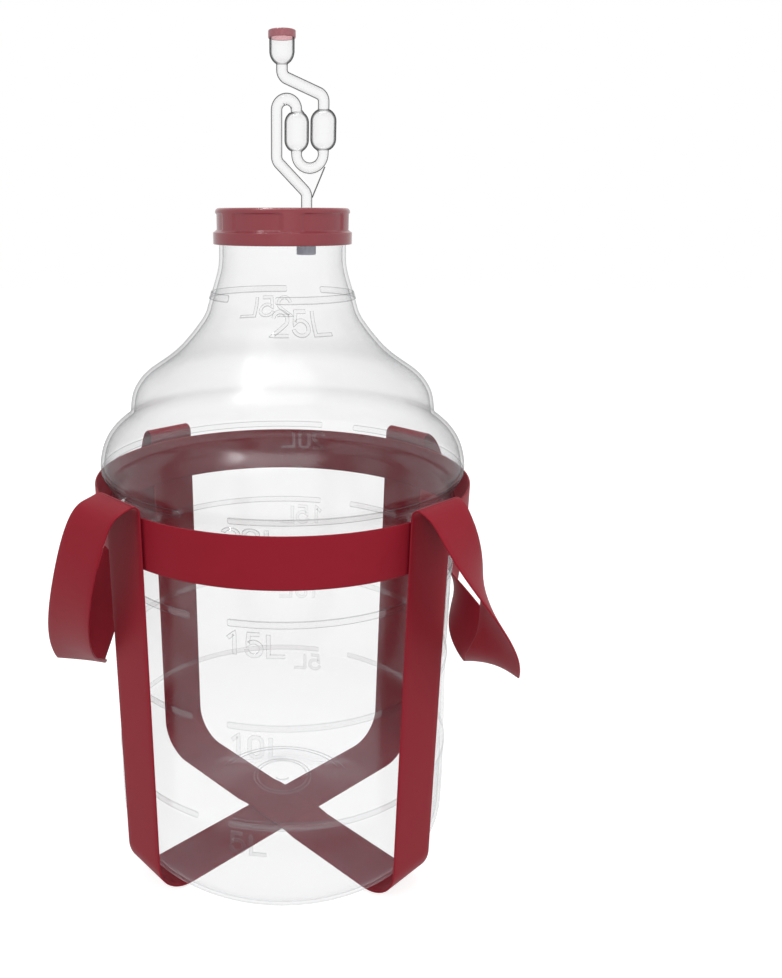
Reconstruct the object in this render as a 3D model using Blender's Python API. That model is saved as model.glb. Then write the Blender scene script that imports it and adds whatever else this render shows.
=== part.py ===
"""Clear 25 litre bottle in a strap harness with two handles, a screw cap, a grommet and an airlock.

Sizes are in millimetres and are scaled to metres when a mesh is made. Up is +Z, the front faces -Y and
the underside of the straps is at Z 0. An azimuth is measured from the front towards +X.
"""

import math

import bmesh
import bpy
import numpy as np

SCALE = 0.001
STRAP_T = 1.5
STRAP_W = 45.9
GAP = 0.3

BOTTLE_COLUMNS = 40
FOOT_Z = STRAP_T + GAP
WALL = 2.6
BEAD_HEIGHT = 0.8
BEAD_HALF_WIDTH = 2.8
BEAD_LEVELS = (94.0, 180.0, 264.0, 341.6, 478.4)
BEAD_GAP_AZIMUTH = -20.0
BEAD_GAP_HALF = 6.5
NECK_TOP = 536.3
FINISH_R = 46.0
FINISH_WALL = 3.2

THREAD_PITCH = 6.0
THREAD_TURNS = 1.5
THREAD_START = 519.5

CAP_BOTTOM = 516.0
CAP_FLANGE_TOP = 525.1
CAP_PLATE = (537.8, 540.0)
CAP_TOP = 542.0
CAP_FLANGE_R = 52.9
CAP_R = 51.0
CAP_BORE_R = 48.0
PANEL_DEPTH = 0.6
PANEL_HALF = 21.5
PANEL_FIRST = -20.0

HOLE_X = 18.2
HOLE_R = 6.5
GROMMET_R = 7.4
GROMMET_BOTTOM = 508.2
STEM_X = 18.2
TUBE_R = 4.15

BAND_R = (151.8, 153.2)
BAND_Z = (294.6, 334.3)

LEG_R = 154.35
LEG_BEND = 32.25
ARCH_R = 6.0
ARCH_START = 338.6
STRAP_AZIMUTH = 45.86


def clear_scene():
    for obj in list(bpy.data.objects):
        bpy.data.objects.remove(obj, do_unlink=True)


def material(name, colour, roughness, clear=0.0):
    made = bpy.data.materials.new(name)
    made.use_nodes = True
    shader = made.node_tree.nodes["Principled BSDF"]
    shader.inputs["Base Color"].default_value = (*colour, 1.0)
    shader.inputs["Roughness"].default_value = roughness
    shader.inputs["Transmission Weight"].default_value = clear
    shader.inputs["IOR"].default_value = 1.49
    return made


def add_mesh(name, points, faces, surface, smooth=True):
    mesh = bpy.data.meshes.new(name)
    mesh.from_pydata([tuple(float(v) * SCALE for v in p) for p in points], [], faces)
    mesh.update()
    work = bmesh.new()
    work.from_mesh(mesh)
    bmesh.ops.recalc_face_normals(work, faces=work.faces)
    work.to_mesh(mesh)
    work.free()
    if smooth:
        for polygon in mesh.polygons:
            polygon.use_smooth = True
    obj = bpy.data.objects.new(name, mesh)
    bpy.context.scene.collection.objects.link(obj)
    if surface is not None:
        obj.data.materials.append(surface)
    return obj


def boolean(obj, other, operation):
    modifier = obj.modifiers.new(operation.lower(), "BOOLEAN")
    modifier.object = other
    modifier.operation = operation
    modifier.solver = "EXACT"
    other.hide_render = True
    other.display_type = "WIRE"


def around(azimuth_deg, radius):
    a = math.radians(azimuth_deg)
    return radius * math.sin(a), -radius * math.cos(a)


def grid_faces(rows, columns, closed_rows):
    faces = []
    for i in range(rows if closed_rows else rows - 1):
        k = (i + 1) % rows
        for j in range(columns):
            n = (j + 1) % columns
            faces.append((i * columns + j, i * columns + n, k * columns + n, k * columns + j))
    return faces


def turned(name, rows, azimuths, surface, radius_of=None, centre=(0.0, 0.0), closed=True):
    """A shell turned about a vertical axis from rows of (radius, height)."""
    points = []
    for row, (radius, height) in enumerate(rows):
        for azimuth in azimuths:
            r = radius if radius_of is None else radius_of(row, radius, height, azimuth)
            x, y = around(azimuth, r)
            points.append((x + centre[0], y + centre[1], height))
    return add_mesh(name, points, grid_faces(len(rows), len(azimuths), closed), surface)


def even(count):
    return [360.0 * k / count for k in range(count)]


def sweep_tube(name, path, outer, inner, around_count, surface):
    """A hollow tube along a path in the XZ plane, open at both ends."""
    path = np.array(path, float)
    tangent = np.gradient(path, axis=0)
    tangent /= np.linalg.norm(tangent, axis=1)[:, None]
    count = len(path)
    points = []
    for radii in (outer, inner):
        order = range(count) if radii is outer else range(count - 1, -1, -1)
        for i in order:
            side = np.array([tangent[i][1], -tangent[i][0]])
            for k in range(around_count):
                a = 2 * math.pi * k / around_count
                x, z = path[i] + side * radii[i] * math.cos(a)
                points.append((x, radii[i] * math.sin(a), z))
    return add_mesh(name, points, grid_faces(2 * count, around_count, True), surface)


def strap(name, centres, across, thickness, surface, width=STRAP_W):
    """A flat strap: a rectangle carried along its centre line, with its width along each across vector."""
    centres = np.array(centres, float)
    across = np.array(across, float)
    tangent = np.gradient(centres, axis=0)
    tangent /= np.linalg.norm(tangent, axis=1)[:, None]
    across = across - (across * tangent).sum(1)[:, None] * tangent
    across /= np.linalg.norm(across, axis=1)[:, None]
    normal = np.cross(tangent, across)
    section = [(-1, -1), (0, -1), (1, -1), (1, 1), (0, 1), (-1, 1)]
    points = []
    for p, w, n in zip(centres, across, normal):
        for u, v in section:
            points.append(p + w * u * width / 2 + n * v * thickness / 2)
    faces = []
    size = len(section)
    for i in range(len(centres) - 1):
        for j in range(size):
            k = (j + 1) % size
            a, b, c, d = i * size + j, i * size + k, (i + 1) * size + k, (i + 1) * size + j
            faces += [(a, b, c), (a, c, d)] if j < 3 else [(a, b, d), (b, c, d)]
    last = size * (len(centres) - 1)
    faces.append(tuple(range(size)))
    faces.append(tuple(last + k for k in reversed(range(size))))
    return add_mesh(name, points, faces, surface)


def spline(stations, count, start, end):
    """Cubic through evenly spaced stations, at count places, leaving and arriving with the given slopes."""
    stations = np.array(stations, float)
    n = len(stations)
    system = np.zeros((n, n))
    target = np.zeros_like(stations)
    system[0, 0] = system[-1, -1] = 2.0
    system[0, 1] = system[-1, -2] = 1.0
    target[0] = 6.0 * (stations[1] - stations[0] - start)
    target[-1] = 6.0 * (end - stations[-1] + stations[-2])
    for i in range(1, n - 1):
        system[i, i - 1] = system[i, i + 1] = 1.0
        system[i, i] = 4.0
        target[i] = 6.0 * (stations[i + 1] - 2 * stations[i] + stations[i - 1])
    bend = np.linalg.solve(system, target)
    out = []
    for t in np.linspace(0, n - 1, count):
        i = min(int(t), n - 2)
        f = t - i
        g = 1.0 - f
        lower = g * stations[i] + (g**3 - g) * bend[i] / 6
        upper = f * stations[i + 1] + (f**3 - f) * bend[i + 1] / 6
        out.append(lower + upper)
    return np.array(out)


def thread_ridge(name, root, crest, phase):
    """One helical ridge with tapered ends. Root and crest are radii and the root is inside its wall."""
    steps = int(44 * THREAD_TURNS)
    points = []
    for i in range(steps + 1):
        f = i / steps
        taper = min(1.0, 8 * f, 8 * (1 - f))
        tip = root + (crest - root) * (0.35 + 0.65 * taper)
        azimuth = 360.0 * THREAD_TURNS * f
        z = THREAD_START + phase + THREAD_PITCH * THREAD_TURNS * f
        for r, dz in ((root, -1.3), (tip, -0.6), (tip, 0.6), (root, 1.3)):
            x, y = around(azimuth, r)
            points.append((x, y, z + dz))
    faces = grid_faces(steps + 1, 4, False)
    last = 4 * steps
    faces.append((0, 1, 2, 3))
    faces.append((last + 3, last + 2, last + 1, last))
    return add_mesh(name, points, faces, None)


def bottle_rows():
    """Outside of the bottle from the middle of the base up to the rim, as (radius, height)."""
    base = [(12, 33.0), (26.7, 32.6), (33, 30.5), (45, 24.5), (60, 17.0), (78, 9.5), (92, 4.6)]
    foot = [(102, 2.3), (108, FOOT_Z), (114, FOOT_Z)]
    corner = []
    for a in (18, 36, 54, 72, 90):
        t = math.radians(a)
        corner.append((114 + 33 * math.sin(t), FOOT_Z + 33 - 33 * math.cos(t)))
    body = [(147.0, 60), (146.6, 80), (145.2, 120), (144.0, 150), (143.2, 195), (143.2, 225)]
    body += [(143.2, 295), (143.2, 316), (141.6, 322), (140.0, 327), (140.6, 332), (143.4, 336)]
    bulge = [(148.0, 346.5), (147.2, 353), (145.8, 359), (143.8, 364.5), (140.9, 369.7)]
    bulge += [(136.6, 375.0), (131.0, 380), (124.6, 384.6), (121.8, 388.5), (121.0, 395), (120.2, 400)]
    dome = [(118.8, 405), (116.0, 410), (112.2, 415), (106.6, 420), (99.0, 425), (91.2, 430.2)]
    dome += [(85.0, 435), (79.4, 440), (70.5, 450), (62.7, 460), (59.3, 466), (57.9, 471)]
    neck = [(53.4, 485.0), (51.6, 490.5), (49.8, 496.5), (48.7, 502), (48.6, 513.4)]
    finish = [(46.6, 514.4), (FINISH_R, 515.2), (FINISH_R, NECK_TOP - 0.6), (FINISH_R - 0.6, NECK_TOP)]
    rows = base + foot + corner + body + bulge + dome + neck + finish
    plain = list(rows)
    for level in BEAD_LEVELS:
        half = BEAD_HALF_WIDTH
        for dz in (-half - 0.7, -half + 0.3, half - 0.3, half + 0.7):
            z = level + dz
            rows.append((float(np.interp(z, [p[1] for p in plain[16:]], [p[0] for p in plain[16:]])), z))
    low = rows[:16]
    high = sorted(rows[16:], key=lambda p: p[1])
    return low + high


def inner_rows(outer):
    """Inside of the wall, from the rim down to the middle of the base."""
    kept = [outer[i] for i in range(1, len(outer) - 5) if not near_bead(outer[i][1])]
    kept = kept[:2] + kept[2:-1:3] + kept[-1:]
    points = np.array(kept)
    tangent = np.gradient(points, axis=0)
    tangent /= np.linalg.norm(tangent, axis=1)[:, None]
    inside = points + np.stack([-tangent[:, 1], tangent[:, 0]], 1) * WALL
    rows = [(FINISH_R - FINISH_WALL + 0.5, NECK_TOP), (FINISH_R - FINISH_WALL, NECK_TOP - 0.6)]
    rows += [(FINISH_R - FINISH_WALL, 513.0), (45.4, 508.0)]
    rows += [(float(r), float(z)) for r, z in inside[::-1] if z < 504]
    rows[-1] = (rows[-1][0], 33.0 + WALL)
    return rows


def near_bead(height):
    return any(abs(height - level) < BEAD_HALF_WIDTH + 1.0 for level in BEAD_LEVELS)


def bead_columns():
    """Even azimuths with extra ones where the rings are interrupted."""
    extra = []
    for middle in (BEAD_GAP_AZIMUTH, BEAD_GAP_AZIMUTH + 180.0):
        for half in (BEAD_GAP_HALF, BEAD_GAP_HALF + 1.2):
            extra += [(middle - half) % 360.0, (middle + half) % 360.0]
    plain = [a for a in even(BOTTLE_COLUMNS) if min(abs(a - e) for e in extra) > 3.0]
    return sorted(plain + extra)


def in_bead(azimuth, height):
    """True on a raised arc: between the two interruptions of its ring."""
    half = 18.6 if height > 400 else BEAD_GAP_HALF + 0.6
    for middle in (BEAD_GAP_AZIMUTH, BEAD_GAP_AZIMUTH + 180.0):
        away = abs((azimuth - middle + 180.0) % 360.0 - 180.0)
        if away < half:
            return False
    return True


def make_bottle(surface):
    outer = bottle_rows()
    rows = outer + inner_rows(outer)
    bead_rows = set()
    for i, (r, z) in enumerate(outer):
        for level in BEAD_LEVELS:
            if i > 15 and abs(z - level) < BEAD_HALF_WIDTH:
                bead_rows.add(i)

    def radius_of(row, radius, height, azimuth):
        if row in bead_rows and in_bead(azimuth, height):
            return radius + BEAD_HEIGHT
        return radius

    columns = bead_columns()
    count = len(columns)
    points = []
    for row, (radius, height) in enumerate(rows):
        for azimuth in columns:
            x, y = around(azimuth, radius_of(row, radius, height, azimuth))
            points.append((x, y, height))
    faces = grid_faces(len(rows), count, False)
    points.append((0.0, 0.0, 33.0))
    points.append((0.0, 0.0, 33.0 + WALL))
    under, over = len(points) - 2, len(points) - 1
    last = (len(rows) - 1) * count
    for j in range(count):
        n = (j + 1) % count
        faces.append((under, n, j))
        faces.append((over, last + j, last + n))
    bottle = add_mesh("bottle", points, faces, surface)
    ridge = thread_ridge("bottle_thread_cutter", FINISH_R - 0.6, FINISH_R + 1.5, 0.0)
    boolean(bottle, ridge, "UNION")
    return bottle


def make_cap(surface):
    skirt = [(CAP_BORE_R, CAP_BOTTOM + 0.6), (CAP_BORE_R + 0.6, CAP_BOTTOM), (CAP_FLANGE_R - 0.6, CAP_BOTTOM)]
    skirt += [(CAP_FLANGE_R, CAP_BOTTOM + 0.6), (CAP_FLANGE_R, CAP_FLANGE_TOP - 1.2)]
    skirt += [(CAP_FLANGE_R - 0.5, CAP_FLANGE_TOP - 0.3), (CAP_R, CAP_FLANGE_TOP + 0.5)]
    first_panel = len(skirt)
    skirt += [(CAP_R, CAP_FLANGE_TOP + 1.2), (CAP_R, 530.0), (CAP_R, 537.2)]
    last_panel = len(skirt) - 1
    skirt += [(CAP_R, 538.2), (CAP_R, 539.4), (CAP_R - 0.5, 540.7), (CAP_R - 1.5, 541.7), (CAP_R - 2.6, CAP_TOP)]
    skirt += [(CAP_R - 3.6, 541.8), (CAP_R - 4.4, 541.0), (CAP_R - 5.0, CAP_PLATE[1]), (24.0, CAP_PLATE[1])]
    count = 72
    columns = even(count)

    def radius_of(row, radius, height, azimuth):
        away = abs((azimuth - PANEL_FIRST + 30.0) % 60.0 - 30.0)
        if first_panel <= row <= last_panel and away < PANEL_HALF:
            return radius - PANEL_DEPTH
        return radius

    inside = [(24.0, CAP_PLATE[0]), (CAP_BORE_R, CAP_PLATE[0]), (CAP_BORE_R, 528.0)]
    rows = skirt + inside
    points = []
    for row, (radius, height) in enumerate(rows):
        for azimuth in columns:
            x, y = around(azimuth, radius_of(row, radius, height, azimuth))
            points.append((x, y, height))
    faces = []
    for i in range(len(rows)):
        k = (i + 1) % len(rows)
        if i == len(skirt) - 1:
            continue
        for j in range(count):
            n = (j + 1) % count
            faces.append((i * count + j, i * count + n, k * count + n, k * count + j))
    points.append((0.0, 0.0, CAP_PLATE[1]))
    points.append((0.0, 0.0, CAP_PLATE[0]))
    over, under = len(points) - 2, len(points) - 1
    top_row = (len(skirt) - 1) * count
    low_row = len(skirt) * count
    for j in range(count):
        n = (j + 1) % count
        faces.append((over, top_row + n, top_row + j))
        faces.append((under, low_row + j, low_row + n))
    cap = add_mesh("screw_cap", points, faces, surface)
    hole = turned(
        "cap_hole_cutter",
        [(HOLE_R, CAP_PLATE[0] - 4), (HOLE_R, CAP_PLATE[1] + 4)],
        even(28),
        None,
        centre=(HOLE_X, 0.0),
        closed=False,
    )
    close_ends(hole, 28)
    ridge = thread_ridge("cap_thread_cutter", CAP_BORE_R + 0.7, CAP_BORE_R - 1.4, THREAD_PITCH / 2)
    boolean(cap, ridge, "UNION")
    boolean(cap, hole, "DIFFERENCE")
    return cap


def close_ends(obj, count):
    work = bmesh.new()
    work.from_mesh(obj.data)
    work.verts.ensure_lookup_table()
    work.faces.new([work.verts[j] for j in range(count)])
    work.faces.new([work.verts[len(work.verts) - 1 - j] for j in range(count)])
    bmesh.ops.recalc_face_normals(work, faces=work.faces)
    work.to_mesh(obj.data)
    work.free()


def make_seal(surface):
    rows = [(43.4, NECK_TOP + GAP), (47.4, NECK_TOP + GAP), (47.4, CAP_PLATE[0] - GAP)]
    rows += [(43.4, CAP_PLATE[0] - GAP)]
    return turned("cap_seal", rows, even(56), surface)


def make_grommet(surface):
    bore = 4.6
    rows = [(bore, GROMMET_BOTTOM + 0.5), (bore + 0.5, GROMMET_BOTTOM), (GROMMET_R - 0.8, GROMMET_BOTTOM)]
    rows += [(GROMMET_R, GROMMET_BOTTOM + 0.8), (GROMMET_R, CAP_PLATE[0] - 1.0)]
    rows += [(GROMMET_R - 0.7, CAP_PLATE[0] - GAP), (HOLE_R - GAP, CAP_PLATE[0] - GAP)]
    rows += [(HOLE_R - GAP, CAP_PLATE[1] + GAP), (8.9, CAP_PLATE[1] + GAP), (9.5, CAP_PLATE[1] + 0.9)]
    rows += [(9.3, 541.5), (8.7, 541.9), (bore + 0.6, 541.9), (bore, 541.4)]
    return turned("grommet", rows, even(32), surface, centre=(STEM_X, 0.0))


def arc(centre, radius, start, end, count):
    """Places on an arc in the XZ plane, angles in degrees from +X towards +Z."""
    out = []
    for f in np.linspace(0, 1, count):
        a = math.radians(start + (end - start) * f)
        out.append((centre[0] + radius * math.cos(a), centre[1] + radius * math.sin(a)))
    return out


def rounded(corners, radii, steps=5):
    """A path through corners with each inner corner rounded to its radius."""
    corners = [np.array(c, float) for c in corners]
    out = [corners[0]]
    for i in range(1, len(corners) - 1):
        a, b, c = corners[i - 1], corners[i], corners[i + 1]
        u = (a - b) / np.linalg.norm(a - b)
        v = (c - b) / np.linalg.norm(c - b)
        half = math.acos(max(-1.0, min(1.0, float(u @ v)))) / 2
        reach = radii[i - 1] / math.tan(half)
        p, q = b + u * reach, b + v * reach
        middle = b + (u + v) / np.linalg.norm(u + v) * radii[i - 1] / math.sin(half)
        first, second = p - middle, q - middle
        turn = math.acos(max(-1.0, min(1.0, float(first @ second) / radii[i - 1] ** 2)))
        for f in np.linspace(0, 1, steps):
            w = math.sin((1 - f) * turn) * first + math.sin(f * turn) * second
            out.append(middle + w / math.sin(turn))
    out.append(corners[-1])
    return out


def airlock_path():
    """Centre line from the foot of the stem to the lip of the cup, with an outside radius at each place."""
    stations = []

    def add(places, radius=TUBE_R):
        for place in places:
            stations.append((float(place[0]), float(place[1]), radius))

    add(rounded([(STEM_X, 512.0), (STEM_X, 552.6), (-4.35, 575.2), (-4.35, 609.6)], [7.0, 7.0]))
    add(arc((2.9, 609.6), 7.25, 160, 20, 7))
    add([(10.2, 609.0)])
    for f in np.linspace(0.1, 0.9, 7):
        add([(10.45, 608.2 - 26.6 * f)], TUBE_R + (9.0 - TUBE_R) * math.sin(math.pi * f) ** 0.55)
    add([(10.4, 581.4)], TUBE_R)
    add(arc((20.3, 579.9), 9.9, 180, 360, 9), 3.9)
    add([(30.1, 581.6)], TUBE_R)
    for f in np.linspace(0.1, 0.9, 7):
        add([(30.0, 582.1 + 27.6 * f)], TUBE_R + (9.5 - TUBE_R) * math.sin(math.pi * f) ** 0.55)
    add(rounded([(30.0, 610.0), (30.0, 619.0), (-0.4, 632.0), (-0.4, 638.2)], [6.0, 6.0]))
    add([(-0.4, 639.0)], 4.9)
    add([(-0.4, 640.0)], 6.8)
    add([(-0.4, 642.0)], 8.4)
    add([(-0.4, 645.0)], 9.05)
    add([(-0.4, 652.0), (-0.4, 659.7)], 9.05)
    return stations


def make_airlock(surface):
    stations = airlock_path()
    path = [(x, z) for x, z, r in stations]
    outer = [r for x, z, r in stations]
    inner = [r - 1.1 for r in outer]
    tube = sweep_tube("airlock", path, outer, inner, 14, surface)
    edge = [(21.6, 548.6), (31.2, 570.6)] + arc((20.3, 579.9), 13.2, -40, -150, 9)
    edge += [(3.6, 572.2), (17.0, 558.4), (20.8, 552.5)]
    points = [(x, -0.6, z) for x, z in edge] + [(x, 0.6, z) for x, z in edge]
    count = len(edge)
    faces = [tuple(range(count)), tuple(range(2 * count - 1, count - 1, -1))]
    for j in range(count):
        n = (j + 1) % count
        faces.append((j, n, count + n, count + j))
    web = add_mesh("airlock_web_cutter", points, faces, None, smooth=False)
    boolean(tube, web, "UNION")
    return tube


def make_dust_cap(surface):
    rows = [(9.45, 656.3), (9.8, 656.3), (9.85, 656.9), (9.85, 660.2), (9.5, 661.1), (8.8, 661.4)]
    inside = [(3.0, 660.0), (9.45, 660.0)]
    count = 32
    rows = rows + [(3.0, 661.4)] + inside
    points = []
    for radius, height in rows:
        for azimuth in even(count):
            x, y = around(azimuth, radius)
            points.append((x - 0.4, y, height))
    faces = []
    for i in range(len(rows)):
        if i == 6:
            continue
        k = (i + 1) % len(rows)
        for j in range(count):
            n = (j + 1) % count
            faces.append((i * count + j, i * count + n, k * count + n, k * count + j))
    points.append((-0.4, 0.0, 661.4))
    points.append((-0.4, 0.0, 660.0))
    for j in range(count):
        n = (j + 1) % count
        faces.append((len(points) - 2, 6 * count + n, 6 * count + j))
        faces.append((len(points) - 1, 7 * count + j, 7 * count + n))
    return add_mesh("airlock_dust_cap", points, faces, surface)


def make_band(surface):
    rows = [(BAND_R[0], BAND_Z[0]), (BAND_R[1], BAND_Z[0]), (BAND_R[1], BAND_Z[1]), (BAND_R[0], BAND_Z[1])]
    return turned("waist_band", rows, even(96), surface)


def cross_path(over):
    """Half of a cross strap's centre line from the middle of the base to the crest, as (distance, height)."""
    low = STRAP_T / 2
    raised = low + STRAP_T + GAP if over else low
    path = [(0.0, raised), (26.0, raised), (32.0, (raised + low) / 2), (38.0, low), (80.0, low)]
    middle = LEG_R - LEG_BEND
    path += arc((middle, low + LEG_BEND), LEG_BEND, -90, 0, 12)
    path += [(LEG_R, 110.0), (LEG_R, 200.0), (LEG_R, 300.0)]
    path += arc((LEG_R + ARCH_R, ARCH_START), ARCH_R, 180, 90, 7)
    return path


def make_cross_strap(name, front_azimuth, over, surface):
    half = cross_path(over)
    line = [(-s, z) for s, z in reversed(half[1:])] + half
    dx, dy = around(front_azimuth + 180.0, 1.0)
    centres = [(dx * s, dy * s, z) for s, z in line]
    across = [(-dy, dx, 0.0)] * len(centres)
    return strap(name, centres, across, STRAP_T, surface)


# Places along each handle between its two crests, as x, y and height, with where its width points: the
# bearing from +X towards +Y and the rise, in degrees
HANDLE_LEAVES = (280.0, -84.0)
LEFT_HANDLE = (
    (-133, -124, 327, 139, 10),
    (-151, -117, 271, 145, 23),
    (-166, -77, 210, 168, 22),
    (-175, -24, 169, 189, 8),
    (-183, 9, 159, 190, 27),
    (-170, 44, 190, 223, 42),
    (-153, 83, 242, 215, 38),
    (-129, 113, 292, 210, 24),
)
RIGHT_HANDLE = (
    (131, -128, 322, 49, -8),
    (149, -132, 283, 90, 8),
    (163, -119, 241, 125, 16),
    (167, -94, 212, 136, 5),
    (173, -54, 191, 161, -7),
    (177, -2, 177, 178, -29),
    (166, 38, 185, 154, -55),
    (159, 74, 213, 58, -47),
    (150, 104, 255, 31, -13),
    (132, 120, 298, 11, 8),
)


def handle_rows(side, stations, count, clearance):
    """Middle and width direction along the loop on one side, from just off its front crest to its rear one."""
    azimuth = math.radians(STRAP_AZIMUTH)
    steps = len(stations) + 1
    ends = []
    slopes = []
    for way in (-1, 1):
        out = np.array([side * math.sin(azimuth), way * math.cos(azimuth)])
        x, y = out * (LEG_R + ARCH_R + clearance)
        ends.append((x, y, ARCH_START + ARCH_R, 90.0 * (1 - side) - side * way * STRAP_AZIMUTH, 0.0))
        x, y = out * HANDLE_LEAVES[0] / steps
        slopes.append(np.array([x, y, HANDLE_LEAVES[1] / steps, 0.0, 0.0]))
    line = spline([ends[0], *stations, ends[1]], count, slopes[0], -slopes[1])
    bearing, rise = np.radians(line[:, 3:]).T
    flat = np.cos(rise)
    return line[:, :3], np.stack([np.cos(bearing) * flat, np.sin(bearing) * flat, np.sin(rise)], axis=1)


def make_handle(name, side, stations, surface):
    """A free strap loop on one side, its ends squared off 1 mm from the crests."""
    centres, across = handle_rows(side, stations, 70, 2.0)
    near = handle_rows(side, stations, 70, 1.0)[0]
    centres = np.concatenate([near[:1], centres, near[-1:]])
    across = np.concatenate([across[:1], across, across[-1:]])
    return strap(name, centres, across, STRAP_T, surface, width=43.0)


def main():
    clear_scene()
    clear = (0.93, 0.94, 0.95)
    claret = (0.22, 0.018, 0.027)
    make_bottle(material("clear_plastic", clear, 0.05, clear=0.95))
    make_cap(material("claret_cap", (0.30, 0.06, 0.075), 0.35))
    make_seal(material("pale_liner", (0.8, 0.8, 0.78), 0.6))
    make_grommet(material("grey_rubber", (0.2, 0.2, 0.24), 0.5))
    make_airlock(material("clear_airlock", clear, 0.05, clear=0.95))
    make_dust_cap(material("red_dust_cap", (0.34, 0.09, 0.11), 0.4))
    make_band(material("claret_band", claret, 0.5))
    make_cross_strap("cross_strap_a", -STRAP_AZIMUTH, False, material("claret_strap_a", claret, 0.5))
    make_cross_strap("cross_strap_b", STRAP_AZIMUTH, True, material("claret_strap_b", claret, 0.5))
    make_handle("left_handle", -1, LEFT_HANDLE, material("claret_left", claret, 0.5))
    make_handle("right_handle", 1, RIGHT_HANDLE, material("claret_right", claret, 0.5))


main()
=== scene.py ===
"""Looks of the clear 25 litre bottle in its strap harness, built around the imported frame.

Sizes are in millimetres and become metres when a mesh is made. Up is +Z and the front faces -Y.
An azimuth is measured from the front towards +X.
"""

import math

import bmesh
import bpy
import numpy as np
from mathutils import Matrix, Vector


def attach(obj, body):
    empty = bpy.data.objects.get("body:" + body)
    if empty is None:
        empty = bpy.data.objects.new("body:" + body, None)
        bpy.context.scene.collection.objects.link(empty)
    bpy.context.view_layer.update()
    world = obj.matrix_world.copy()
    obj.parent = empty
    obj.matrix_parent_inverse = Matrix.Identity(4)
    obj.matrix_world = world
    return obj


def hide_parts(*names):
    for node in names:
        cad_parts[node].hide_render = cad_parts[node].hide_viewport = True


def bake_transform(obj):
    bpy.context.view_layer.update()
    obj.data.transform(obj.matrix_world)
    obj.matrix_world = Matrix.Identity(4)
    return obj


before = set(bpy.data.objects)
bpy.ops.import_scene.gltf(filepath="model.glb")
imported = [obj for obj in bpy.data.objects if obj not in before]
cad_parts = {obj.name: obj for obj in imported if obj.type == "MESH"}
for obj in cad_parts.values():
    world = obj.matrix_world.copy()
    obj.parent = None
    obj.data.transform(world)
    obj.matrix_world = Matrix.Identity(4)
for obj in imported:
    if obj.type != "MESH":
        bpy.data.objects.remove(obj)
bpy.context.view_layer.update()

SCALE = 0.001
ROUNDED_PLACES = 14

# Camera: fitted to the photograph's frame of 782 by 978
CAMERA_PLACE = (29.9, -692.7, 537.54)
CAMERA_TILT_DOWN = 18.954
CAMERA_TURN_LEFT = 2.4723
CAMERA_LENS = 31.875
CAMERA_SENSOR = 36.0
CAMERA_SHIFT = (0.11095, 0.0232)

# Bottle
FOOT_Z = 1.8
WALL = 2.6
CORNER_R = 33.0
CORNER_CENTRE_R = 114.0
PUSH_UP_Z = 33.0
NECK_TOP = 536.3
FINISH_R = 46.0
FINISH_WALL = 3.2
THREAD_PITCH = 6.0
THREAD_TURNS = 1.5
THREAD_START = 524.6
THREAD_DEPTH = 1.5

# Relief of the base, which lies below BASE_TOP and inside BASE_R
BASE_TOP = 60.0
BASE_R = 105.0
CHANNEL_HALF = 9.0
CHANNEL_HEIGHT = 2.4
CHANNEL_R = (40.0, 84.0)
DISC_R = 26.4
DISC_HEIGHT = 0.8
DISC_MARK_R = 6.6
DISC_MARK_HEIGHT = 0.4

# Raised lines: their section as (across in half widths, height off the wall), with which faces of it are
# its bevelled sides, and how thin a sharp corner may make it
RELIEF = 0.8
LINE_LIFT = 0.03
LINE_SECTION = ((-1.0, LINE_LIFT), (-1.0, 0.62), (-0.95, 0.75), (-0.78, RELIEF), (-0.3, RELIEF))
LINE_SECTION += ((0.3, RELIEF), (0.78, RELIEF), (0.95, 0.75), (1.0, 0.62), (1.0, LINE_LIFT))
LINE_SECTION += ((0.5, LINE_LIFT), (0.0, LINE_LIFT), (-0.5, LINE_LIFT))
LINE_SIDES = (0, 1, 2, 6, 7, 8)
LINE_CORNER = 0.58

# Level rings: height of each volume in litres, and the azimuths between which each half runs
LEVELS = {5: 94.0, 10: 180.0, 15: 264.0, 20: 341.6, 25: 478.4}
BEAD_ARCS = {
    25: ((-3.0, 148.6), (178.6, 317.0)),
    20: ((-12.3, 154.5), (167.0, 333.5)),
    15: ((-13.4, 154.5), (167.0, 334.5)),
    10: ((-14.1, 154.5), (167.0, 334.3)),
    5: ((-14.1, 154.5), (167.0, 335.8)),
}
BEAD_HALF_WIDTH = 2.8
BEAD_END_R = 1.5

# Volume figures: the signs and where each starts along the wall from the front; the top ones stand on the
# cone of the neck
LABELS = {
    5: ("5L", (-36.0, -19.8)),
    10: ("10L", (-33.9, -20.0, -4.2)),
    15: ("15L", (-35.5, -21.4, -5.5)),
    20: ("20L", (-37.2, -22.0, -6.6)),
    25: ("25L", (-6.0, 9.1, 24.4)),
}
FIGURE_HEIGHT = 17.0
FIGURE_HALF = 1.6
FIGURE_BELOW_RING = 6.0
TOP_FIGURE_HALF = 1.4
TOP_FIGURE_STRETCH = 1.1
CONE_R = 62.4

# Lines on the pushed-up base: radii of the rings and of the arc inside them, and the lobes' edges as
# (centre, radii, half angle)
BASE_RINGS = (26.8, 23.4)
BASE_MARK_R = 7.0
FRONT_ARCS = ((0.0, 47.0), (100.0, 104.5), 26)
REAR_ARCS = ((0.0, 17.0), (67.0, 59.0), 64)
BASE_LINE_HALF = 0.6
BASE_LINE_RISE = 0.3

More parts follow.
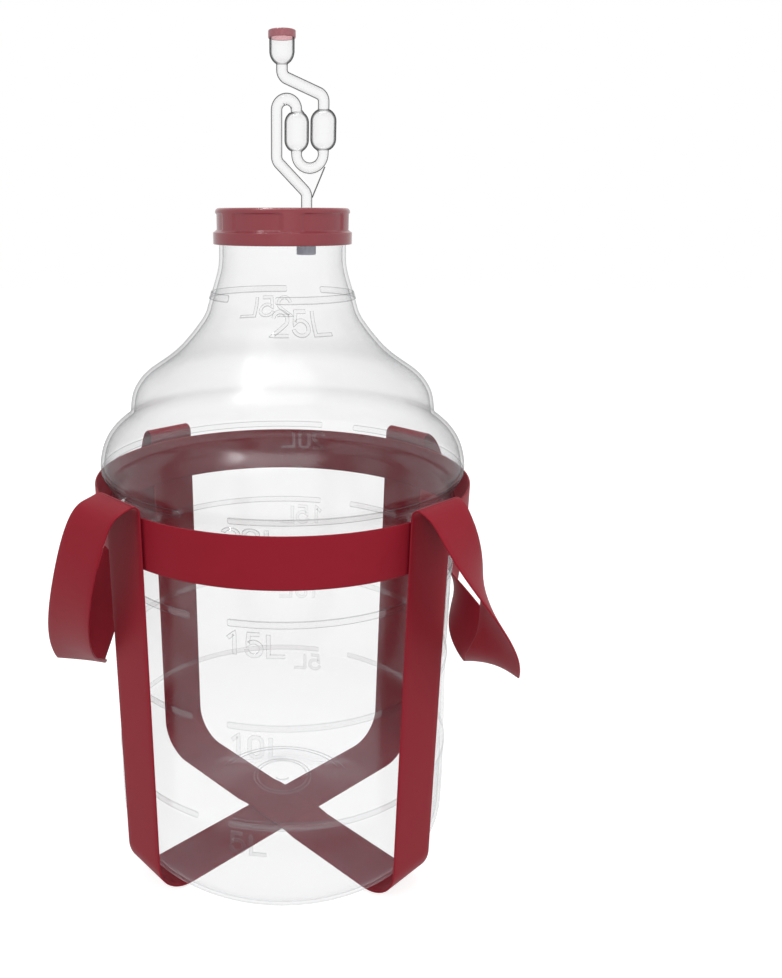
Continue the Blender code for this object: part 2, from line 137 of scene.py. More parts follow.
# Closure
CAP_BOTTOM = 516.0
CAP_FLANGE_TOP = 525.1
CAP_PLATE = (537.8, 540.0)
CAP_FLANGE_R = 52.9
CAP_R = 51.0
CAP_BORE_R = 48.0
PANEL_DEPTH = 1.0
PANEL_HALF = 21.5
PANEL_FIRST = -20.0
PANEL_STEP = 60.0
PANEL_CORNER = 1.5
PANEL_Z = (526.2, 538.0)
PLATE_R = 30.0
HOLE_R = 6.5
STEM_X = 18.2
GROMMET_R = 7.4
GROMMET_BOTTOM = 508.2
GROMMET_BORE = 4.6

# Airlock: the bulbs as (x, height where the tube enters, rise to where it leaves, radius)
TUBE_R = 4.15
TUBE_WALL = 1.1
BULBS = ((10.45, 608.4, -26.9, 9.0), (30.0, 582.1, 27.8, 9.5))
BULB_END = 8.6
BULB_PLACES = 33
LOWER_BEND = (20.3, 579.9)
CUP_X = -0.4
CUP_R = 9.05
WEB_HALF = 0.6
# the rod along the web's outer edge is painted shade: a thin dark line where the clear edge shows dark
WEB_EDGE = ((22.3, 549.4), (31.5, 570.9))
WEB_EDGE_R = 0.5

# Harness
STRAP_T = 1.5
STRAP_W = 45.9
HANDLE_W = 43.0
GAP = 0.3
BAND_R = 152.5
BAND_Z = (294.6, 334.3)
LEG_R = 154.35
LEG_BEND = 32.25
ARCH_R = 6.0
ARCH_START = 338.6
STRAP_AZIMUTH = 45.86
RIB_PITCH = 1.1
END_PITCH = 0.9

# Handles: how far out and up one sets off at a crest, its gap to the crest, the part of its length in which
# it widens, and its places between its two crests as x, y and height with where its width points: the
# bearing from +X towards +Y and the rise, in degrees
HANDLE_LEAVES = (280.0, -84.0)
HANDLE_CLEARANCE = 0.2
HANDLE_WIDENS = 0.06
HANDLE_PLACES = 421
LEFT_HANDLE = (
    (-133, -124, 327, 139, 10),
    (-151, -117, 271, 145, 23),
    (-166, -77, 210, 168, 22),
    (-175, -24, 169, 189, 8),
    (-183, 9, 159, 190, 27),
    (-170, 44, 190, 223, 42),
    (-153, 83, 242, 215, 38),
    (-129, 113, 292, 210, 24),
)
RIGHT_HANDLE = (
    (131, -128, 322, 49, -8),
    (149, -132, 283, 90, 8),
    (163, -119, 241, 125, 16),
    (167, -94, 212, 136, 5),
    (173, -54, 191, 161, -7),
    (177, -2, 177, 178, -29),
    (166, 38, 185, 154, -55),
    (159, 74, 213, 58, -47),
    (150, 104, 255, 31, -13),
    (132, 120, 298, 11, 8),
)

# Looks of the clear wall: heights in metres where the low tints, the low gloss and the dull foot give way,
# and how much of a lamp's light comes through
LOW_TINTS_END = (0.2, 0.265)
LOW_GLOSS_END = (0.33, 0.37)
DULL_END = (0.06, 0.1)
LAMP_LIGHT_THROUGH = 0.7

# Depth of grain and weave, in metres
BUMP_DISTANCE = 0.0002

# Floor
FLOOR_HALF = 6000.0
FLOOR_DROP = 0.3

# Lamps as (name, place, aim, size, watts, the surfaces that it lights), in metres
LAMPS = (
    ("key", (-1.3, -1.5, 1.9), (0, 0, 0.3), (1.0, 1.0), 17.0, "matt"),
    ("front", (0.3, -2.2, 0.6), (0, 0, 0.3), (1.0, 1.0), 15.0, "matt"),
    ("fill", (1.7, -0.9, 1.1), (0, 0, 0.3), (1.0, 1.2), 9.0, "matt"),
    ("top", (0.1, 0.5, 2.2), (0, 0, 0.3), (1.2, 1.0), 12.0, "matt"),
    ("upper_left", (-0.6, -0.6, 2.3), (0, 0, 0.45), (0.8, 0.8), 4.0, "gloss"),
    ("overhead", (0.0, 0.0, 2.6), (0, 0, 0.4), (1.1, 1.1), 12.0, "gloss"),
    ("far_left", (-0.55, 0.25, 2.5), (0, 0, 0.4), (1.1, 0.12), 14.0, "gloss"),
)


def make_camera():
    tilt = math.radians(CAMERA_TILT_DOWN)
    turn = math.radians(CAMERA_TURN_LEFT)
    ahead = Vector((-math.sin(turn) * math.cos(tilt), math.cos(turn) * math.cos(tilt), -math.sin(tilt)))
    right = Vector((math.cos(turn), math.sin(turn), 0.0))
    up = right.cross(ahead)
    data = bpy.data.cameras.new("camera")
    data.lens = CAMERA_LENS
    data.sensor_width = CAMERA_SENSOR
    data.shift_x, data.shift_y = CAMERA_SHIFT
    data.clip_start = 0.01
    data.clip_end = 50.0
    obj = bpy.data.objects.new("camera", data)
    bpy.context.scene.collection.objects.link(obj)
    place = Vector(CAMERA_PLACE) * SCALE
    obj.matrix_world = Matrix.Translation(place) @ Matrix((right, up, -ahead)).transposed().to_4x4()
    bpy.context.scene.camera = obj


# Mesh helpers


def add_mesh(name, points, faces, surface, smooth=True):
    mesh = bpy.data.meshes.new(name)
    mesh.from_pydata((np.asarray(points, float) * SCALE).tolist(), [], faces)
    mesh.update()
    work = bmesh.new()
    work.from_mesh(mesh)
    bmesh.ops.recalc_face_normals(work, faces=work.faces)
    work.to_mesh(mesh)
    work.free()
    mesh.polygons.foreach_set("use_smooth", [smooth] * len(mesh.polygons))
    obj = bpy.data.objects.new(name, mesh)
    bpy.context.scene.collection.objects.link(obj)
    mesh.materials.append(surface)
    return obj


def grid_faces(rows, columns, closed_rows=False):
    """Faces between rings of points that follow each other, and from the last one to the first if closed."""
    faces = []
    for i in range(rows if closed_rows else rows - 1):
        k = (i + 1) % rows
        for j in range(columns):
            n = (j + 1) % columns
            faces.append((i * columns + j, i * columns + n, k * columns + n, k * columns + j))
    return faces


def end_faces(first, last, size):
    """Faces that shut the two ends of a tube, on the rings that start at the points first and last."""
    return [tuple(first + k for k in range(size)), tuple(last + k for k in reversed(range(size)))]


def turned(name, rows, count, surface, centre):
    """A closed ring turned about a vertical axis from rows of (radius, height)."""
    rows = np.array(rows, float)
    a = np.radians(np.arange(count) * 360.0 / count)
    x = rows[:, :1] * np.sin(a) + centre[0]
    y = -rows[:, :1] * np.cos(a) + centre[1]
    z = np.repeat(rows[:, 1:], count, axis=1)
    points = np.stack([x, y, z], axis=2).reshape(-1, 3)
    return add_mesh(name, points, grid_faces(len(rows), count, closed_rows=True), surface)


def unit(rows):
    """Each row scaled to a length of one."""
    return rows / np.linalg.norm(rows, axis=1)[:, None]


def run_along(line):
    """How far along a line each of its places is."""
    return np.concatenate([[0.0], np.cumsum(np.linalg.norm(np.diff(line, axis=0), axis=1))])


def resampled(line, places):
    """The same line with its places at the given distances along it."""
    run = run_along(line)
    return np.stack([np.interp(places, run, line[:, k]) for k in range(line.shape[1])], axis=1)


def even_places(path, step):
    """A path with evenly spaced places."""
    path = np.array(path, float)
    length = run_along(path)[-1]
    return resampled(path, np.linspace(0.0, length, int(length / step) + 1))


def softened(corners, spread, step):
    """A line through corners, rounded by a blur of the given spread, with its ends kept."""
    line = even_places(corners, step)
    reach = int(4 * spread / step)
    kernel = np.exp(-0.5 * (np.arange(-reach, reach + 1) * step / spread) ** 2)
    kernel /= kernel.sum()
    head = 2 * line[0] - line[reach:0:-1]
    tail = 2 * line[-1] - line[-2:-reach - 2:-1]
    padded = np.concatenate([head, line, tail])
    columns = [np.convolve(padded[:, k], kernel, mode="valid") for k in range(line.shape[1])]
    return np.stack(columns, axis=1)


def smooth_step(value):
    value = np.clip(value, 0.0, 1.0)
    return value * value * (3.0 - 2.0 * value)


def arc(centre, radius, start, end, count):
    """Places on an arc, angles in degrees from the first axis towards the second."""
    a = np.radians(np.linspace(start, end, count))
    return np.stack([centre[0] + radius * np.cos(a), centre[1] + radius * np.sin(a)], axis=1).tolist()


def rounded(corners, radii):
    """A path through corners with each inner corner rounded to its radius."""
    corners = [np.array(c, float) for c in corners]
    out = [corners[0]]
    for i in range(1, len(corners) - 1):
        a, b, c = corners[i - 1], corners[i], corners[i + 1]
        u = (a - b) / np.linalg.norm(a - b)
        v = (c - b) / np.linalg.norm(c - b)
        half = math.acos(max(-1.0, min(1.0, float(u @ v)))) / 2
        reach = radii[i - 1] / math.tan(half)
        p, q = b + u * reach, b + v * reach
        middle = b + (u + v) / np.linalg.norm(u + v) * radii[i - 1] / math.sin(half)
        first, second = p - middle, q - middle
        turn = math.acos(max(-1.0, min(1.0, float(first @ second) / radii[i - 1] ** 2)))
        for f in np.linspace(0, 1, ROUNDED_PLACES):
            w = math.sin((1 - f) * turn) * first + math.sin(f * turn) * second
            out.append(middle + w / math.sin(turn))
    out.append(corners[-1])
    return [tuple(p) for p in out]


# Material helpers


def new_material(name):
    made = bpy.data.materials.new(name)
    made.use_nodes = True
    made.node_tree.nodes.clear()
    return made, made.node_tree


def put(tree, kind, inputs=None, **settings):
    """A node with its settings, and its inputs given as values or as sockets to link."""
    made = tree.nodes.new(kind)
    for key, value in settings.items():
        setattr(made, key, value)
    for key, value in (inputs or {}).items():
        if isinstance(value, bpy.types.NodeSocket):
            tree.links.new(value, made.inputs[key])
        else:
            made.inputs[key].default_value = value
    return made


def mixed(tree, factor, first, second):
    """A colour between two others."""
    return put(tree, "ShaderNodeMix", {0: factor, 6: first, 7: second}, data_type="RGBA").outputs[2]


def mixed_shaders(tree, factor, first, second):
    return put(tree, "ShaderNodeMixShader", {0: factor, 1: first, 2: second}).outputs[0]


def math_node(tree, operation, first, second=0.0, third=0.0):
    return put(tree, "ShaderNodeMath", {0: first, 1: second, 2: third}, operation=operation).outputs[0]


def ranged(tree, value, start, end, low=0.0, high=1.0):
    """A value taken from between start and end to between low and high, and held at them past the ends."""
    inputs = {"Value": value, "From Min": start, "From Max": end, "To Min": low, "To Max": high}
    return put(tree, "ShaderNodeMapRange", inputs).outputs["Result"]


def noise(tree, place, scale, detail):
    return put(tree, "ShaderNodeTexNoise", {"Vector": place, "Scale": scale, "Detail": detail}).outputs["Fac"]


def bumped(tree, strength, height):
    inputs = {"Strength": strength, "Distance": BUMP_DISTANCE, "Height": height}
    return put(tree, "ShaderNodeBump", inputs).outputs["Normal"]


def grey(value):
    return (value, value, value, 1.0)


def finish_material(tree, shader):
    put(tree, "ShaderNodeOutputMaterial", {"Surface": shader})


def tint_ramp(tree, turned_away, tints, shade):
    """What the wall lets through, by how far it is turned away."""
    ramp = put(tree, "ShaderNodeValToRGB", {"Fac": turned_away})
    steps = ramp.color_ramp.elements
    while len(steps) < len(tints):
        steps.new(0.5)
    for step, (position, tint) in zip(steps, tints):
        step.position = position
        step.color = grey(tint * shade)
    return ramp.outputs["Color"]


def clear_plastic(name, tints, gloss, haze, low=None, shade=1.0):
    """Thin clear plastic: what is behind shows unbent, greyer where the wall turns away, under a thin gloss.

    tints are pairs of (how far the wall is turned away, what it lets through), and low holds the ones used
    below the middle of the body, where the outline is faint, with the gloss there. gloss is how much it
    mirrors square on and how much more at a grazing angle, and haze how blurred the mirror is.
    """
    made, tree = new_material(name)
    facing = put(tree, "ShaderNodeLayerWeight", {"Blend": 0.5}).outputs["Facing"]
    place = put(tree, "ShaderNodeTexCoord").outputs["Object"]
    tint = tint_ramp(tree, facing, tints, shade)
    square_on = gloss[0]
    dull = 0.0
    if low:
        height = put(tree, "ShaderNodeSeparateXYZ", {"Vector": place}).outputs["Z"]
        low_tint = tint_ramp(tree, facing, low[0], 1.0)
        tint = mixed(tree, ranged(tree, height, *LOW_TINTS_END), low_tint, tint)
        square_on = ranged(tree, height, *LOW_GLOSS_END, low[1], gloss[0])
        dull = ranged(tree, height, *DULL_END, 1.0, 0.0)
    rough = ranged(tree, noise(tree, place, 90.0, 3.0), 0.3, 0.7, haze * 0.7, haze)
    mirror = put(
        tree,
        "ShaderNodeBsdfPrincipled",
        {
            "Base Color": (0.96, 0.97, 1.0, 1.0),
            "Metallic": 1.0,
            "Roughness": math_node(tree, "MAXIMUM", rough, dull),
        },
    )
    clear = put(tree, "ShaderNodeBsdfTransparent", {"Color": tint})
    share = math_node(tree, "MULTIPLY_ADD", math_node(tree, "POWER", facing, 5.0), gloss[1], square_on)
    seen = mixed_shaders(tree, share, clear.outputs[0], mirror.outputs[0])
    through = put(tree, "ShaderNodeBsdfTransparent", {"Color": grey(LAMP_LIGHT_THROUGH)})
    path = put(tree, "ShaderNodeLightPath")
    finish_material(tree, mixed_shaders(tree, path.outputs["Is Shadow Ray"], seen, through.outputs[0]))
    return made


def moulded_plastic(name, colour, shade, roughness, grain, glow=0.0):
    """Coloured moulded plastic with a fine grain and a faint mottle in its colour and finish.

    glow is a painted glow: light it gives off in its own colour, standing in for light from behind coming
    through it.
    """
    made, tree = new_material(name)
    place = put(tree, "ShaderNodeTexCoord").outputs["Object"]
    mottle = noise(tree, place, 40.0, 4.0)
    tone = mixed(tree, mottle, (*colour, 1.0), (*shade, 1.0))
    shader = put(
        tree,
        "ShaderNodeBsdfPrincipled",
        {
            "Base Color": tone,
            "Roughness": ranged(tree, mottle, 0.0, 1.0, roughness - 0.05, roughness + 0.05),
            "Emission Color": tone,
            "Emission Strength": glow,
            "Normal": bumped(tree, grain, noise(tree, place, 900.0, 2.0)),
        },
    )
    finish_material(tree, shader.outputs[0])
    return made


def webbing(name, colour, shade):
    """Flat woven strap: ribs across it, warp ends along it, darker in the valleys as painted shade."""
    made, tree = new_material(name)
    lie = put(tree, "ShaderNodeAttribute", attribute_name="lie").outputs["Vector"]
    parts = put(tree, "ShaderNodeSeparateXYZ", {"Vector": lie}).outputs
    ribs = math_node(tree, "SINE", math_node(tree, "MULTIPLY", parts["X"], 2 * math.pi / RIB_PITCH))
    ends = math_node(tree, "SINE", math_node(tree, "MULTIPLY", parts["Y"], 2 * math.pi / END_PITCH))
    weave = math_node(tree, "MULTIPLY", ribs, ends)
    height = math_node(tree, "MULTIPLY_ADD", weave, 0.5, 0.5)
    wide = math_node(tree, "MULTIPLY", noise(tree, lie, 0.06, 3.0), 0.6)
    # painted shade: the tone goes to the shade colour in the weave's valleys, with a slow random drift of
    # tone
    tone = mixed(tree, math_node(tree, "MULTIPLY_ADD", height, 0.25, wide), (*shade, 1.0), (*colour, 1.0))
    shader = put(
        tree,
        "ShaderNodeBsdfPrincipled",
        {
            "Base Color": tone,
            "Roughness": 0.55,
            "Specular IOR Level": 0.15,
            "Sheen Weight": 0.05,
            "Sheen Roughness": 0.4,
            "Sheen Tint": (0.9, 0.6, 0.65, 1.0),
            "Normal": bumped(tree, 0.12, height),
        },
    )
    finish_material(tree, shader.outputs[0])
    return made


# Bottle


def outer_stations():
    """Outside of the bottle from the middle of the base up to the foot of the finish."""
    base = [(0.0, PUSH_UP_Z), (12, PUSH_UP_Z), (26.7, 32.6), (33, 30.5), (45, 24.5), (60, 17.0), (78, 9.5)]
    base += [(92, 4.6), (102, 2.3), (108, FOOT_Z)]
    lift = FOOT_Z + CORNER_R
    corner = arc((CORNER_CENTRE_R, lift), CORNER_R, -90, 0, 16)
    body = [(147.0, 60), (146.6, 80), (145.2, 120), (144.0, 150), (143.2, 195), (143.2, 225)]
    body += [(143.2, 295), (143.2, 316), (141.6, 322), (140.0, 327), (140.6, 332), (143.4, 336)]
    bulge = [(148.0, 346.5), (147.2, 353), (145.8, 359), (143.8, 364.5), (140.9, 369.7)]
    bulge += [(136.6, 375.0), (131.0, 380), (124.6, 384.6), (121.8, 388.5), (121.0, 395), (120.2, 400)]
    dome = [(118.8, 405), (116.0, 410), (112.2, 415), (106.6, 420), (99.0, 425), (91.2, 430.2)]
    dome += [(85.0, 435), (79.4, 440), (70.5, 450), (62.7, 460), (59.3, 466), (57.9, 471)]
    neck = [(53.4, 485.0), (51.6, 490.5), (49.8, 496.5), (48.8, 502), (48.5, 508.0), (48.4, 519.0)]
    return base + corner + body + bulge + dome + neck


def figure_strokes():
    """Centre lines of the figures' strokes, as (points, whether they close), from their low left."""
    bowl = [(5.5 + 5.4 * x, 5.5 + 5.5 * y) for x, y in arc((0.0, 0.0), 1.0, 132, -172, 20)]
    two = arc((5.6, 11.7), 5.3, 168, -32, 20) + [(0.4, 0.0), (11.4, 0.0)]
    five = [(9.9, 17.0), (2.0, 17.0), (1.0, 8.6)] + bowl
    nought = arc((4.7, 12.3), 4.7, 0, 180, 16) + arc((4.7, 4.7), 4.7, 180, 360, 16)
    return {
        "0": (nought, True),
        "1": ([(0.5, 12.6), (5.4, 17.0), (5.4, 0.0)], False),
        "2": (two, False),
        "5": (five, False),
        "L": ([(0.0, 17.0), (0.0, 0.0), (12.2, 0.0)], False),
    }


def divided(points, closed, step):
    """The same line with its long stretches cut into shorter ones."""
    points = [np.array(p, float) for p in points]
    if closed:
        points.append(points[0])
    out = [points[0]]
    for a, b in zip(points[:-1], points[1:]):
        parts = max(1, int(np.linalg.norm(b - a) / step))
        out += [a + (b - a) * k / parts for k in range(1, parts + 1)]
    return np.array(out[:-1] if closed else out)


def raised_line(line, closed, halves, on_wall):
    """Points, faces and edge marks of a raised line with bevelled sides, laid on the wall."""
    ahead = np.roll(line, -1, axis=0) - line
    behind = line - np.roll(line, 1, axis=0)
    if not closed:
        ahead[-1] = behind[-1]
        behind[0] = ahead[0]
    ahead = unit(ahead)
    along = unit(ahead + unit(behind))
    side = np.stack([-along[:, 1], along[:, 0]], axis=1)
    corner = np.abs(ahead[:, 1] * side[:, 0] - ahead[:, 0] * side[:, 1])
    side /= np.maximum(corner, LINE_CORNER)[:, None]
    points = []
    for (u, v), (nu, nv), half in zip(line, side, halves):
        for c, h in LINE_SECTION:
            points.append(on_wall(u + nu * c * half, v + nv * c * half, h))
    size = len(LINE_SECTION)
    faces = grid_faces(len(line), size, closed_rows=closed)
    # the bevelled sides are marked for the darker look: painted shade for the grey outlines of raised clear
    # plastic
    edges = [face[0] % size in LINE_SIDES for face in faces]
    if not closed:
        faces += end_faces(0, size * (len(line) - 1), size)
        edges += [True, True]
    return points, faces, edges


def add_raised(name, parts, surface, edge_surface):
    points = []
    faces = []
    marks = []
    for some_points, some_faces, some_edges in parts:
        base = len(points)
        points += some_points
        faces += [tuple(base + k for k in face) for face in some_faces]
        marks += some_edges
    obj = add_mesh(name, points, faces, surface, smooth=False)
    obj.data.materials.append(edge_surface)
    obj.data.polygons.foreach_set("material_index", [int(m) for m in marks])
    return obj


def stepped(start, end, fine, coarse_step):
    """Places from start to end, close together inside the fine stretches of (low, high, step)."""
    places = [start]
    while places[-1] < end:
        step = coarse_step
        for low, high, small in fine:
            if low - coarse_step < places[-1] < high:
                step = min(step, small if places[-1] > low - small else max(small, low - places[-1]))
        places.append(places[-1] + step)
    places[-1] = end
    return np.array(places)


class Wall:
    """Outside of the bottle as a smooth line, which places things by their azimuth and run along it."""

    def __init__(self):
        self.line = softened(outer_stations(), 1.6, 0.25)
        self.runs = run_along(self.line)
        self.slope = unit(np.gradient(self.line, axis=0))
        self.lowest = int(np.argmin(self.line[:, 1]))

    def run_at(self, height):
        return float(np.interp(height, self.line[self.lowest:, 1], self.runs[self.lowest:]))

    def at(self, run, lift=0.0):
        """Radius and height at a run, lifted off the wall."""
        radius = np.interp(run, self.runs, self.line[:, 0])
        height = np.interp(run, self.runs, self.line[:, 1])
        out_r = np.interp(run, self.runs, self.slope[:, 1])
        out_z = -np.interp(run, self.runs, self.slope[:, 0])
        return radius + out_r * lift, height + out_z * lift


def make_figures(wall, surface, edge_surface):
    """Raised volume figures, at the front and again at the back."""
    strokes = figure_strokes()
    parts = []
    for volume, (text, lefts) in LABELS.items():
        cone = volume == max(LABELS)
        stretch = TOP_FIGURE_STRETCH if cone else 1.0
        half = TOP_FIGURE_HALF if cone else FIGURE_HALF
        head = wall.run_at(LEVELS[volume]) - FIGURE_BELOW_RING - FIGURE_HALF
        foot = head - FIGURE_HEIGHT * stretch
        for sign, left in zip(text, lefts):
            line, closed = strokes[sign]
            line = divided(line, closed, 1.1) + (left + half, 0.0)
            for turn in (0.0, 180.0):

                def on_wall(u, v, lift, turn=turn):
                    radius, height = wall.at(foot + v * stretch, lift)
                    a = u / (CONE_R if cone else radius) + math.radians(turn)
                    return (radius * math.sin(a), -radius * math.cos(a), height)

                parts.append(raised_line(line, closed, [half] * len(line), on_wall))
    return add_raised("volume_figures", parts, surface, edge_surface)


def make_beads(wall, surface, edge_surface):
    """Raised level rings, each in two lengths with rounded ends."""
    parts = []
    for volume, level in LEVELS.items():
        middle = wall.run_at(level)
        radius = wall.at(middle)[0]
        for start, end in BEAD_ARCS[volume]:
            length = math.radians(end - start) * radius
            ends = np.array([0.0, 0.12, 0.4, 0.85, BEAD_END_R])
            inner = np.linspace(BEAD_END_R, length - BEAD_END_R, int(length / 2.6))[1:-1]
            u = np.concatenate([ends, inner, length - ends[::-1]])
            away = np.minimum(np.minimum(u, length - u), BEAD_END_R)
            halves = BEAD_HALF_WIDTH - BEAD_END_R + np.sqrt(BEAD_END_R**2 - (BEAD_END_R - away) ** 2)

            def on_wall(along, v, lift):
                r, z = wall.at(middle + v, lift)
                a = along / radius + math.radians(start)
                return (r * math.sin(a), -r * math.cos(a), z)

            line = np.stack([u, 0 * u], axis=1)
            parts.append(raised_line(line, False, halves, on_wall))
    return add_raised("level_rings", parts, surface, edge_surface)


def make_base_lines(wall, surface, edge_surface):
    """Thin raised lines on the pushed-up base: two rings round a short arc, and edges of its lobes."""
    outlines = [(arc((0.0, 0.0), r, 0, 355, 72), True) for r in BASE_RINGS]
    outlines.append((arc((0.0, 0.0), BASE_MARK_R, 215, 325, 20), False))
    for (centre, radii, half), middle in ((FRONT_ARCS, 270), (REAR_ARCS, 90)):
        for r in radii:
            outlines.append((arc(centre, r, middle - half, middle + half, 40), False))
    base = wall.line[:wall.lowest]

    def on_wall(u, v, lift):
        height = np.interp(math.hypot(u, v), base[:, 0], base[:, 1]) + WALL + BASE_LINE_RISE
        return (u, v, height + lift)

    parts = []
    for outline, closed in outlines:
        line = divided(outline, closed, 3.0)
        parts.append(raised_line(line, closed, [BASE_LINE_HALF] * len(line), on_wall))
    return add_raised("base_lines", parts, surface, edge_surface)


def make_bottle(wall, surface, inner_surface):
    top = wall.runs[-1]
    runs = stepped(0.0, top, [(8.0, 62.0, 1.6), (wall.run_at(310), wall.run_at(430), 1.5)], 2.6)[1:]
    count = 180
    azimuth = (np.arange(count) * 360.0 / count)[None, :]
    outer_r, outer_z = (v[:, None] for v in wall.at(runs))
    outer_z = outer_z + base_relief(azimuth, outer_r, outer_z)

    finish = [(48.3, 520.0), (48.0, 520.5), (47.3, 520.9), (FINISH_R, 521.4)]
    finish += [(FINISH_R, z) for z in np.arange(522.0, 535.4, 0.7)]
    finish += [(FINISH_R, NECK_TOP - 0.6), (FINISH_R - 0.2, NECK_TOP - 0.2)]
    finish += [(FINISH_R - 0.6, NECK_TOP)]
    finish = np.array(finish)
    finish_r = finish[:, :1] + thread_relief(azimuth, finish[:, 1:])
    bore = FINISH_R - FINISH_WALL
    lip = [(bore + 0.6, NECK_TOP), (bore + 0.2, NECK_TOP - 0.2), (bore, NECK_TOP - 0.6)]
    lip += [(bore, 525.0), (bore + 0.4, 522.6), (bore + 1.6, 520.4), (45.5, 518.8), (45.85, 517.0)]
    lip = np.array(lip)

    inner_runs = runs[runs < wall.run_at(512.0)][::-1]
    inner_r, inner_z = (v[:, None] for v in wall.at(inner_runs, -WALL))
    inner_z = inner_z + base_relief(azimuth, inner_r, inner_z)

    parts_r = (outer_r, finish_r, lip[:, :1], inner_r)
    parts_z = (outer_z, finish[:, 1:], lip[:, 1:], inner_z)
    radii = np.concatenate([part + 0 * azimuth for part in parts_r])
    heights = np.concatenate([part + 0 * azimuth for part in parts_z])
    a = np.radians(azimuth)
    points = np.stack([radii * np.sin(a), -radii * np.cos(a), heights], axis=2).reshape(-1, 3)
    points = np.concatenate([points, [(0.0, 0.0, PUSH_UP_Z), (0.0, 0.0, PUSH_UP_Z + WALL)]])
    faces = grid_faces(len(radii), count)
    under, over = len(points) - 2, len(points) - 1
    last = (len(radii) - 1) * count
    for j in range(count):
        n = (j + 1) % count
        faces.append((under, n, j))
        faces.append((over, last + j, last + n))
    bottle = add_mesh("clear_bottle", points, faces, surface)
    bottle.data.materials.append(inner_surface)
    # the inner look starts at the lip's last four rows, inside the foot of the finish
    first_inner = (len(outer_r) + len(finish) + len(lip) - 4) * count
    inner = [first_inner <= f[0] < last or f[0] == over for f in faces]
    bottle.data.polygons.foreach_set("material_index", [int(v) for v in inner])
    return bottle


def base_relief(azimuth, radius, height):
    """Upward relief of the pushed-up base: four lobes between channels, a raised disc and its centre mark."""
    on_base = (height < BASE_TOP) & (radius < BASE_R)
    away = np.abs((azimuth + 90.0) % 90.0 - 45.0)
    channel = 1.0 - smooth_step(np.radians(away) * radius / CHANNEL_HALF)
    span = smooth_step((radius - CHANNEL_R[0]) / 12.0) * (1.0 - smooth_step((radius - CHANNEL_R[1]) / 14.0))
    disc = 1.0 - smooth_step((radius - DISC_R) / 1.2)
    mark = 1.0 - smooth_step(np.abs(radius - DISC_MARK_R) / 1.0)
    lift = CHANNEL_HEIGHT * channel * span + DISC_HEIGHT * disc + DISC_MARK_HEIGHT * mark - DISC_HEIGHT
    return np.where(on_base, lift, 0.0)


def thread_relief(azimuth, height):
    """Height of the helical ridge on the finish."""
    best = np.zeros(np.broadcast(azimuth, height).shape)
    turn = azimuth % 360.0
    for wrap in range(int(THREAD_TURNS) + 1):
        along = (turn + 360.0 * wrap) / (360.0 * THREAD_TURNS)
        taper = smooth_step(along * 9.0) * smooth_step((1.0 - along) * 9.0)
        middle = THREAD_START + THREAD_PITCH * THREAD_TURNS * along
        ridge = 1.0 - smooth_step((np.abs(height - middle) - 0.5) / 0.9)
        best = np.maximum(best, THREAD_DEPTH * ridge * taper)
    return best


# Closure


def make_cap(surface):
    wide = CAP_BORE_R + 1.3
    edge = [(wide, CAP_BOTTOM + 0.5), (wide + 0.5, CAP_BOTTOM)]
    edge += arc((CAP_FLANGE_R - 0.6, CAP_BOTTOM + 0.6), 0.6, -90, 0, 4)
    edge += [(CAP_FLANGE_R, 519.0), (CAP_FLANGE_R, 522.0)]
    edge += arc((CAP_FLANGE_R - 1.0, CAP_FLANGE_TOP - 1.1), 1.0, 0, 70, 5)
    edge += [(CAP_R + 0.5, CAP_FLANGE_TOP + 0.2), (CAP_R + 0.1, CAP_FLANGE_TOP + 0.6)]
    edge += [(CAP_R, z) for z in np.arange(CAP_FLANGE_TOP + 1.0, 539.0, 0.42)]
    edge += arc((CAP_R - 2.8, 539.2), 2.8, 0, 90, 10)
    edge += [(CAP_R - 3.4, 541.9), (CAP_R - 4.0, 541.3), (CAP_R - 4.4, 540.6), (CAP_R - 5.2, 540.1)]
    edge += [(CAP_R - 6.5, CAP_PLATE[1]), (PLATE_R, CAP_PLATE[1])]
    edge = np.array(edge)
    count = 264
    azimuth = (np.arange(count) * 360.0 / count)[None, :]
    # outside is how far a place is out of its panel, whose corners are rounded
    away = np.abs((azimuth - PANEL_FIRST + PANEL_STEP / 2) % PANEL_STEP - PANEL_STEP / 2)
    along = np.radians(away - PANEL_HALF) * CAP_R + PANEL_CORNER
    up = np.abs(edge[:, 1:] - sum(PANEL_Z) / 2) - (PANEL_Z[1] - PANEL_Z[0]) / 2 + PANEL_CORNER
    past_corner = np.hypot(np.maximum(along, 0), np.maximum(up, 0))
    outside = past_corner + np.minimum(np.maximum(along, up), 0) - PANEL_CORNER
    on_skirt = np.abs(edge[:, :1] - CAP_R) < 0.3
    radii = edge[:, :1] - PANEL_DEPTH * smooth_step(0.5 - outside / 1.1) * on_skirt
    a = np.radians(azimuth)
    shell = [np.stack([radii * np.sin(a), -radii * np.cos(a), edge[:, 1:] + 0 * a], axis=2)]
    for height, steps in ((CAP_PLATE[1], (0.3, 0.6, 0.85, 1.0)), (CAP_PLATE[0], (1.0, 0.6, 0.0))):
        for f in steps:
            r = PLATE_R * (1 - f) + HOLE_R * f
            shell.append(np.stack([r * np.sin(a) + STEM_X * f, -r * np.cos(a), height + 0 * a], axis=2))
    levels = np.array([CAP_PLATE[0]] + list(np.arange(533.0, 521.2, -0.7)) + [520.8])[:, None]
    bore = CAP_BORE_R - thread_relief(azimuth, levels + THREAD_PITCH / 2)
    bore[0] = CAP_BORE_R
    bore[-1] = wide
    shell.append(np.stack([bore * np.sin(a), -bore * np.cos(a), levels + 0 * a], axis=2))
    points = np.concatenate(shell)
    faces = grid_faces(len(points), count, closed_rows=True)
    return add_mesh("cap_shell", points.reshape(-1, 3), faces, surface)


